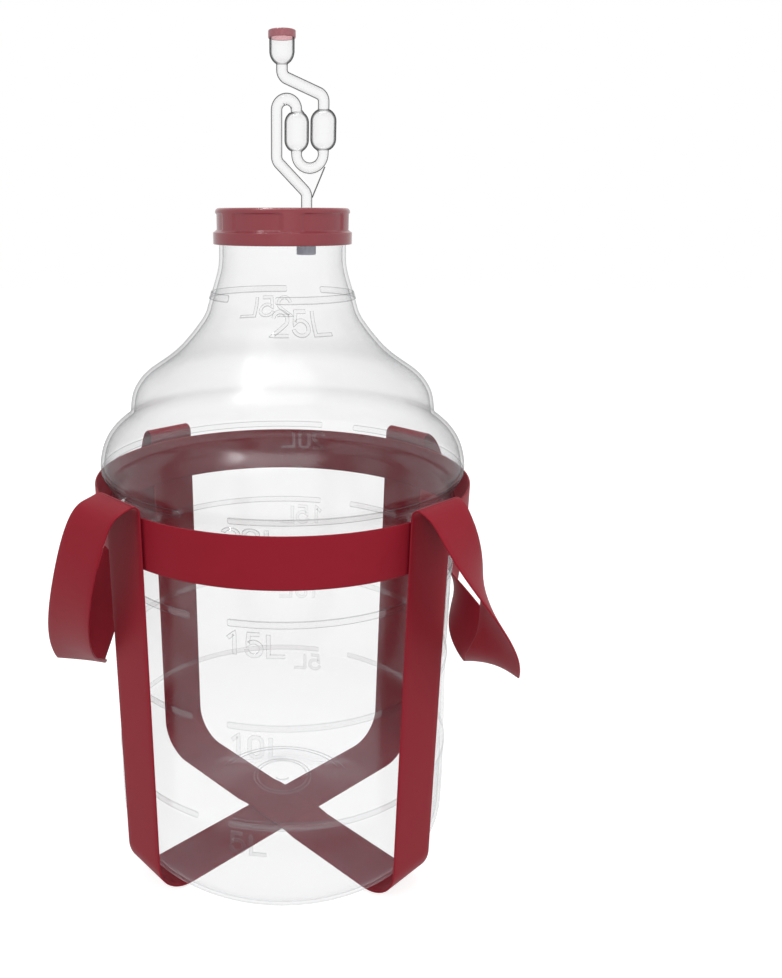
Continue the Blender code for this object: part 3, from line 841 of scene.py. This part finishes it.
def make_grommet(surface):
    bore = GROMMET_BORE
    rows = [(bore, GROMMET_BOTTOM + 0.5), (bore + 0.15, GROMMET_BOTTOM + 0.15), (bore + 0.5, GROMMET_BOTTOM)]
    rows += arc((GROMMET_R - 0.8, GROMMET_BOTTOM + 0.8), 0.8, -90, 0, 5)
    rows += [(GROMMET_R, 523.0), (GROMMET_R, CAP_PLATE[0] - 1.0), (GROMMET_R - 0.2, CAP_PLATE[0] - 0.5)]
    rows += [(GROMMET_R - 0.7, CAP_PLATE[0] - GAP), (HOLE_R - GAP, CAP_PLATE[0] - GAP)]
    rows += [(HOLE_R - GAP, CAP_PLATE[1] + GAP), (8.9, CAP_PLATE[1] + GAP), (9.4, CAP_PLATE[1] + 0.6)]
    rows += [(9.5, 541.0), (9.35, 541.45), (9.1, 541.75), (8.7, 541.9), (bore + 0.6, 541.9)]
    rows += [(bore + 0.2, 541.75), (bore, 541.4)]
    return turned("rubber_grommet", rows, 72, surface, (STEM_X, 0.0))


def make_dust_cap(surface, painted_glow_inside):
    rows = [(9.45, 656.5), (9.6, 656.3), (9.75, 656.4), (9.85, 656.8), (9.85, 658.0), (9.85, 659.9)]
    rows += arc((9.05, 660.6), 0.8, 0, 90, 6)
    rows += [(6.0, 661.4), (0.6, 661.4), (0.6, 660.0), (6.0, 660.0), (9.3, 660.0), (9.45, 659.8)]
    ring = np.array(rows)
    count = 72
    a = np.radians(np.arange(count) * 360.0 / count)
    x = ring[:, :1] * np.sin(a) + CUP_X
    points = np.stack([x, -ring[:, :1] * np.cos(a), ring[:, 1:] + 0 * a], axis=2).reshape(-1, 3)
    middle = int(np.argmax(ring[:, 0] < 1.0))
    faces = grid_faces(len(ring), count, closed_rows=True)
    low, high = middle * count, (middle + 1) * count
    faces = [f for f in faces if not (low <= f[0] < high)] + end_faces(low, high, count)
    cap = add_mesh("dust_cap_shell", points, faces, surface)
    cap.data.materials.append(painted_glow_inside)
    # the inner faces take the pale glowing look: painted light for light that comes through the thin cap
    cap.data.polygons.foreach_set("material_index", [int(f[0] >= high) for f in faces])
    return cap


# Airlock


def bulb(f, half_length, wide, narrow):
    """Radius along a bulb with flat sides and elliptical ends, f from 0 to 1 along it."""
    flat = half_length - BULB_END * math.sqrt(1 - (narrow / wide) ** 2)
    away = abs(f - 0.5) * 2 * half_length - flat
    return wide * math.sqrt(1 - (max(away, 0.0) / BULB_END) ** 2)


def airlock_line():
    """Centre line from the foot of the stem to the lip of the cup as (x, z, outside radius)."""
    line = []

    def add(places, radius=TUBE_R):
        for x, z in places:
            line.append((x, z, radius))

    def add_bulb(x, start, rise, radius):
        for f in np.linspace(0.0, 1.0, BULB_PLACES):
            add([(x, start + rise * f)], bulb(f, abs(rise) / 2, radius, TUBE_R))

    add(rounded([(STEM_X, 512.0), (STEM_X, 552.6), (-4.35, 575.2), (-4.35, 609.6)], [7.0, 7.0]))
    add(arc((2.9, 609.6), 7.25, 172, 8, 24))
    add([(10.2, 608.9)])
    add_bulb(*BULBS[0])
    add([(10.4, 581.2)])
    add(arc(LOWER_BEND, 9.9, 180, 360, 28), 3.9)
    add([(30.1, 581.6)])
    add_bulb(*BULBS[1])
    add(rounded([(30.0, 610.2), (30.0, 619.0), (CUP_X, 632.0), (CUP_X, 638.4)], [6.0, 6.0]))
    for t in np.radians(np.linspace(28, 90, 12)):
        add([(CUP_X, 648.0 - 9.3 * math.cos(t))], CUP_R * math.sin(t))
    add([(CUP_X, 652.0), (CUP_X, 656.0), (CUP_X, 659.2)], CUP_R)
    add([(CUP_X, 659.7)], CUP_R - 0.15)
    return np.array(line)


def even_line(line, step):
    """The same line with a place every step along it, and after each place that it had."""
    run = run_along(line)
    places = np.union1d(np.round(run, 3), np.round(np.arange(0.0, run[-1], step), 3))
    return resampled(line, places[np.concatenate([[True], np.diff(places) > 0.25])])


def make_airlock(surface, inner_surface):
    line = even_line(airlock_line(), 1.4)
    path = line[:, :2]
    tangent = unit(np.gradient(path, axis=0))
    side = np.stack([tangent[:, 1], -tangent[:, 0]], axis=1)
    around_count = 36
    a = 2 * math.pi * np.arange(around_count) / around_count
    shells = []
    for radii, order in ((line[:, 2], slice(None)), (line[:, 2] - TUBE_WALL, slice(None, None, -1))):
        x = path[:, :1] + side[:, :1] * radii[:, None] * np.cos(a)
        z = path[:, 1:] + side[:, 1:] * radii[:, None] * np.cos(a)
        y = radii[:, None] * np.sin(a)
        shells.append(np.stack([x, y, z], axis=2)[order])
    points = np.concatenate(shells).reshape(-1, 3)
    faces = grid_faces(2 * len(line), around_count, closed_rows=True)
    tube = add_mesh("airlock_tube", points, faces, surface)
    tube.data.materials.append(inner_surface)
    half = len(line) * around_count
    tube.data.polygons.foreach_set("material_index", [int(f[0] >= half) for f in faces])
    return tube


def make_web(surface, edge_shade_surface):
    """Thin flat rib between the lower bend and the stem, with a round dark rod along its outer edge as
    painted shade.
    """
    edge = [(22.3, 549.0), (22.35, 551.0), (31.6, 571.2)] + arc(LOWER_BEND, 14.3, -38, -128, 24)
    edge += [(20.6, 557.6), (22.0, 553.0)]
    count = len(edge)
    points = [(x, y, z) for y in (-WEB_HALF, WEB_HALF) for x, z in edge]
    faces = [tuple(range(count)), tuple(range(2 * count - 1, count - 1, -1))]
    for j in range(count):
        n = (j + 1) % count
        faces.append((j, n, count + n, count + j))
    base = len(points)
    low, high = np.array(WEB_EDGE)
    across = (high - low)[::-1] * (1.0, -1.0) / np.linalg.norm(high - low)
    rings, sides = 13, 8
    for f in np.linspace(0.0, 1.0, rings):
        for x, y in arc((0.0, 0.0), WEB_EDGE_R, 0, 315, sides):
            place = low + (high - low) * f + across * x
            points.append((place[0], y, place[1]))
    faces += [tuple(base + k for k in face) for face in grid_faces(rings, sides)]
    faces += end_faces(base, base + (rings - 1) * sides, sides)
    web = add_mesh("airlock_web", points, faces, surface, smooth=False)
    web.data.materials.append(edge_shade_surface)
    shade_rod = [min(f) >= base for f in faces]
    web.data.polygons.foreach_set("material_index", [int(v) for v in shade_rod])
    web.data.polygons.foreach_set("use_smooth", [v and len(f) == 4 for v, f in zip(shade_rod, faces)])
    return web


# Harness


def spline(stations, count, start, end):
    """Cubic through evenly spaced stations, at count places, leaving and arriving with the given slopes."""
    stations = np.array(stations, float)
    n = len(stations)
    system = np.zeros((n, n))
    target = np.zeros_like(stations)
    system[0, 0] = system[-1, -1] = 2.0
    system[0, 1] = system[-1, -2] = 1.0
    target[0] = 6.0 * (stations[1] - stations[0] - start)
    target[-1] = 6.0 * (end - stations[-1] + stations[-2])
    for i in range(1, n - 1):
        system[i, i - 1] = system[i, i + 1] = 1.0
        system[i, i] = 4.0
        target[i] = 6.0 * (stations[i + 1] - 2 * stations[i] + stations[i - 1])
    bend = np.linalg.solve(system, target)
    out = []
    for t in np.linspace(0, n - 1, count):
        i = min(int(t), n - 2)
        f = t - i
        g = 1.0 - f
        lower = g * stations[i] + (g**3 - g) * bend[i] / 6
        upper = f * stations[i + 1] + (f**3 - f) * bend[i + 1] / 6
        out.append(lower + upper)
    return np.array(out)


def strap_section(width):
    """Rounded outline of a flat strap as (across, up), from its low left."""
    edge = STRAP_T / 2
    half = width / 2 - edge
    flat = np.linspace(-half, half, 9)
    section = [(u, -edge) for u in flat]
    section += arc((half, 0.0), edge, -60, 60, 5)
    section += [(u, edge) for u in flat[::-1]]
    section += arc((-half, 0.0), edge, 120, 240, 5)
    return np.array(section)


def strap(name, centres, across, surface, widths, closed=False):
    """A flat strap carried along its centre line, with its run and its width kept for the weave."""
    centres = np.array(centres, float)
    across = np.array(across, float)
    if closed:
        tangent = unit(np.roll(centres, -1, axis=0) - np.roll(centres, 1, axis=0))
    else:
        tangent = unit(np.gradient(centres, axis=0))
    across = unit(across - (across * tangent).sum(1)[:, None] * tangent)
    normal = np.cross(tangent, across)
    points = []
    lie = []
    for p, w, n, s, width in zip(centres, across, normal, run_along(centres), widths):
        section = strap_section(width)
        points.append(p + section[:, :1] * w + section[:, 1:] * n)
        lie.append([(s, u, v) for u, v in section])
    size = len(points[0])
    points = np.concatenate(points)
    faces = grid_faces(len(centres), size, closed_rows=closed)
    if not closed:
        faces += end_faces(0, size * (len(centres) - 1), size)
    obj = add_mesh(name, points, faces, surface)
    kept = obj.data.attributes.new("lie", "FLOAT_VECTOR", "POINT")
    kept.data.foreach_set("vector", np.array(lie, np.float32).ravel())
    return obj


def make_band(surface):
    count = 360
    a = np.radians(np.arange(count) * 360.0 / count)
    middle = sum(BAND_Z) / 2
    centres = np.stack([BAND_R * np.sin(a), -BAND_R * np.cos(a), 0 * a + middle], axis=1)
    across = [(0.0, 0.0, 1.0)] * count
    return strap("waist_webbing", centres, across, surface, [BAND_Z[1] - BAND_Z[0]] * count, closed=True)


def cross_path(over):
    """Half of a cross strap's centre line from the middle of the base to the crest, as (distance, height)."""
    low = STRAP_T / 2
    raised = low + STRAP_T + GAP if over else low
    path = [(0.0, raised), (26.0, raised), (29.0, (3 * raised + low) / 4), (32.0, (raised + low) / 2)]
    path += [(35.0, (raised + 3 * low) / 4), (38.0, low), (80.0, low)]
    path += arc((LEG_R - LEG_BEND, low + LEG_BEND), LEG_BEND, -90, 0, 24)
    path += [(LEG_R, 110.0), (LEG_R, 200.0), (LEG_R, 300.0)]
    path += arc((LEG_R + ARCH_R, ARCH_START), ARCH_R, 180, 90, 14)
    return even_places(path, 1.6)


def make_cross_strap(name, front_azimuth, over, surface):
    half = cross_path(over)
    line = np.concatenate([half[:0:-1] * (-1.0, 1.0), half])
    a = math.radians(front_azimuth + 180.0)
    dx, dy = math.sin(a), -math.cos(a)
    centres = [(dx * s, dy * s, z) for s, z in line]
    across = [(-dy, dx, 0.0)] * len(centres)
    return strap(name, centres, across, surface, [STRAP_W] * len(centres))


def handle_rows(side, stations):
    """Middle and width direction along the loop on one side, from its front crest to its rear one."""
    azimuth = math.radians(STRAP_AZIMUTH)
    steps = len(stations) + 1
    ends = []
    slopes = []
    for way in (-1, 1):
        out = np.array([side * math.sin(azimuth), way * math.cos(azimuth)])
        x, y = out * (LEG_R + ARCH_R + HANDLE_CLEARANCE)
        ends.append((x, y, ARCH_START + ARCH_R, 90.0 * (1 - side) - side * way * STRAP_AZIMUTH, 0.0))
        x, y = out * HANDLE_LEAVES[0] / steps
        slopes.append(np.array([x, y, HANDLE_LEAVES[1] / steps, 0.0, 0.0]))
    line = spline([ends[0], *stations, ends[1]], HANDLE_PLACES, slopes[0], -slopes[1])
    bearing, rise = np.radians(line[:, 3:]).T
    flat = np.cos(rise)
    return line[:, :3], np.stack([np.cos(bearing) * flat, np.sin(bearing) * flat, np.sin(rise)], axis=1)


def make_handle(name, side, stations, surface):
    """A free strap loop, which widens to the cross straps' width towards its two ends."""
    centres, across = handle_rows(side, stations)
    t = np.linspace(0.0, 1.0, len(centres))
    from_end = np.minimum(t, 1.0 - t)
    widths = STRAP_W + (HANDLE_W - STRAP_W) * smooth_step(from_end / HANDLE_WIDENS)
    return strap(name, centres, across, surface, widths)


# Surroundings


def seen_directly(tree):
    """1 for rays that show a background: from the camera, in a reflection or through clear plastic."""
    path = put(tree, "ShaderNodeLightPath")
    first = math_node(tree, "MAXIMUM", path.outputs["Is Camera Ray"], path.outputs["Is Glossy Ray"])
    either = math_node(tree, "MAXIMUM", first, path.outputs["Is Transmission Ray"])
    fresh = math_node(tree, "LESS_THAN", path.outputs["Diffuse Depth"], 0.5)
    return math_node(tree, "MULTIPLY", either, fresh)


def make_world():
    world = bpy.data.worlds.new("studio")
    bpy.context.scene.world = world
    world.use_nodes = True
    tree = world.node_tree
    tree.nodes.clear()
    strength = ranged(tree, seen_directly(tree), 0.0, 1.0, 0.55, 1.0)
    glow = put(tree, "ShaderNodeBackground", {"Color": grey(1.0), "Strength": strength})
    put(tree, "ShaderNodeOutputWorld", {"Surface": glow.outputs[0]})


def make_floor():
    """Pale floor: white with the object's shadow, and plain white in gloss and through clear plastic."""
    made, tree = new_material("pale_floor")
    cloth = put(tree, "ShaderNodeBsdfDiffuse", {"Color": grey(0.55)}).outputs[0]
    low = put(tree, "ShaderNodeEmission", {"Color": grey(1.0), "Strength": 0.72}).outputs[0]
    full = put(tree, "ShaderNodeEmission", {"Color": grey(1.0), "Strength": 1.0}).outputs[0]
    both = put(tree, "ShaderNodeAddShader", {0: cloth, 1: low}).outputs[0]
    path = put(tree, "ShaderNodeLightPath").outputs
    passed = math_node(tree, "GREATER_THAN", path["Transparent Depth"], 0.5)
    passed = math_node(tree, "MULTIPLY", passed, path["Is Camera Ray"])
    behind = math_node(tree, "MAXIMUM", path["Is Glossy Ray"], passed)
    lit = mixed_shaders(tree, path["Is Camera Ray"], cloth, both)
    finish_material(tree, mixed_shaders(tree, behind, lit, full))
    points = [(x * FLOOR_HALF, y * FLOOR_HALF, -FLOOR_DROP) for x, y in ((-1, -1), (1, -1), (1, 1), (-1, 1))]
    floor = add_mesh("floor", points, [(0, 1, 2, 3)], made, smooth=False)


def make_lamp(name, place, aim, size, power, lights):
    data = bpy.data.lights.new(name, "AREA")
    data.shape = "RECTANGLE"
    data.size, data.size_y = size
    data.energy = power
    obj = bpy.data.objects.new(name, data)
    bpy.context.scene.collection.objects.link(obj)
    obj.location = place
    obj.rotation_euler = (Vector(aim) - Vector(place)).to_track_quat("-Z", "Y").to_euler()
    obj.visible_glossy = lights == "gloss"
    obj.visible_diffuse = lights == "matt"


def make_surfaces():
    """All the looks: pairs are for the outside and the inside of a piece, or for its faces and its edges."""
    outer_tints = ((0.0, 0.987), (0.3, 0.98), (0.6, 0.955), (0.8, 0.88), (0.92, 0.66), (1.0, 0.2))
    inner_tints = ((0.0, 0.987), (0.3, 0.97), (0.6, 0.925), (0.8, 0.84), (0.92, 0.6), (1.0, 0.15))
    tube_tints = ((0.0, 0.985), (0.36, 0.965), (0.5, 0.5), (0.7, 0.2), (1.0, 0.05))
    tube_inner_tints = ((0.0, 0.985), (0.6, 0.95), (0.9, 0.8), (1.0, 0.6))
    low_wall = (((0.0, 0.994), (0.7, 0.99), (0.92, 0.98), (1.0, 0.96)), 0.034)
    low_fill = (((0.0, 0.968), (0.9, 0.95), (1.0, 0.93)), 0.045)
    low_edges = (((0.0, 0.86), (1.0, 0.8)), 0.08)
    gloss = (0.017, 0.3)
    tube_gloss = (0.02, 0.1)
    return {
        "bottle": (
            clear_plastic("bottle_plastic", outer_tints, gloss, 0.24, low_wall),
            clear_plastic("bottle_inside", inner_tints, gloss, 0.24, low_wall),
        ),
        "lines": (
            clear_plastic("figure_plastic", outer_tints, gloss, 0.06, low_fill),
            # the darker tints on the raised lines' bevelled sides are painted shade for their grey outlines
            clear_plastic("figure_edges_painted_shade", outer_tints, (0.04, 0.3), 0.06, low_edges, shade=0.66),
        ),
        "airlock": (
            clear_plastic("airlock_plastic", tube_tints, tube_gloss, 0.05),
            clear_plastic("airlock_inside", tube_inner_tints, tube_gloss, 0.05),
        ),
        "web": (
            clear_plastic("airlock_web", tube_tints, (0.01, 0.05), 0.05),
            # the dark tints of the web's edge rod are painted shade for the dark line its edge shows
            clear_plastic("airlock_web_painted_edge_shade", ((0.0, 0.4), (1.0, 0.2)), tube_gloss, 0.05),
        ),
        "dust_cap": (
            moulded_plastic("red_cap_plastic", (0.32, 0.11, 0.125), (0.30, 0.10, 0.115), 0.35, 0.05),
            # the pale colour and glow of the cap's inside are painted light, for light coming through the
            # thin cap
            moulded_plastic("red_cap_painted_glow", (0.90, 0.58, 0.60), (0.86, 0.55, 0.57), 0.6, 0.05, glow=0.4),
        ),
        "cap": moulded_plastic("claret_cap_plastic", (0.235, 0.032, 0.043), (0.215, 0.029, 0.039), 0.2, 0.05),
        "grommet": moulded_plastic("grey_rubber", (0.54, 0.56, 0.65), (0.49, 0.51, 0.59), 0.55, 0.2),
        "seal": moulded_plastic("pale_liner", (0.78, 0.78, 0.75), (0.72, 0.72, 0.69), 0.7, 0.3),
        # the second colour is the painted shade of the weave's valleys
        "straps": webbing("claret_webbing", (0.245, 0.009, 0.020), (0.215, 0.007, 0.016)),
    }


def main():
    make_camera()
    looks = make_surfaces()
    cloth = looks["straps"]
    wall = Wall()
    pieces = (
        (make_bottle(wall, *looks["bottle"]), "bottle", "bottle"),
        (make_cap(looks["cap"]), "cap", "screw_cap"),
        (make_grommet(looks["grommet"]), "grommet", "grommet"),
        (make_airlock(*looks["airlock"]), "airlock", "airlock"),
        (make_dust_cap(*looks["dust_cap"]), "dust_cap", "airlock_dust_cap"),
        (make_band(cloth), "harness", "waist_band"),
        (make_cross_strap("cross_webbing_a", -STRAP_AZIMUTH, False, cloth), "harness", "cross_strap_a"),
        (make_cross_strap("cross_webbing_b", STRAP_AZIMUTH, True, cloth), "harness", "cross_strap_b"),
    )
    for piece, body, node in pieces:
        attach(piece, body)
        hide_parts(node)
    web = make_web(*looks["web"])
    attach(web, "airlock")
    for make in (make_figures, make_beads, make_base_lines):
        piece = make(wall, *looks["lines"])
        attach(piece, "bottle")
    for side, node, stations in ((-1, "left_handle", LEFT_HANDLE), (1, "right_handle", RIGHT_HANDLE)):
        piece = make_handle(node + "_webbing", side, stations, cloth)
        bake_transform(piece)
        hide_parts(node)
    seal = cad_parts["cap_seal"]
    seal.data.materials.clear()
    seal.data.materials.append(looks["seal"])

    make_world()
    make_floor()
    for lamp in LAMPS:
        make_lamp(*lamp)
    bpy.context.scene.view_settings.view_transform = "Standard"
    bpy.context.scene.cycles.transparent_max_bounces = 32


main()
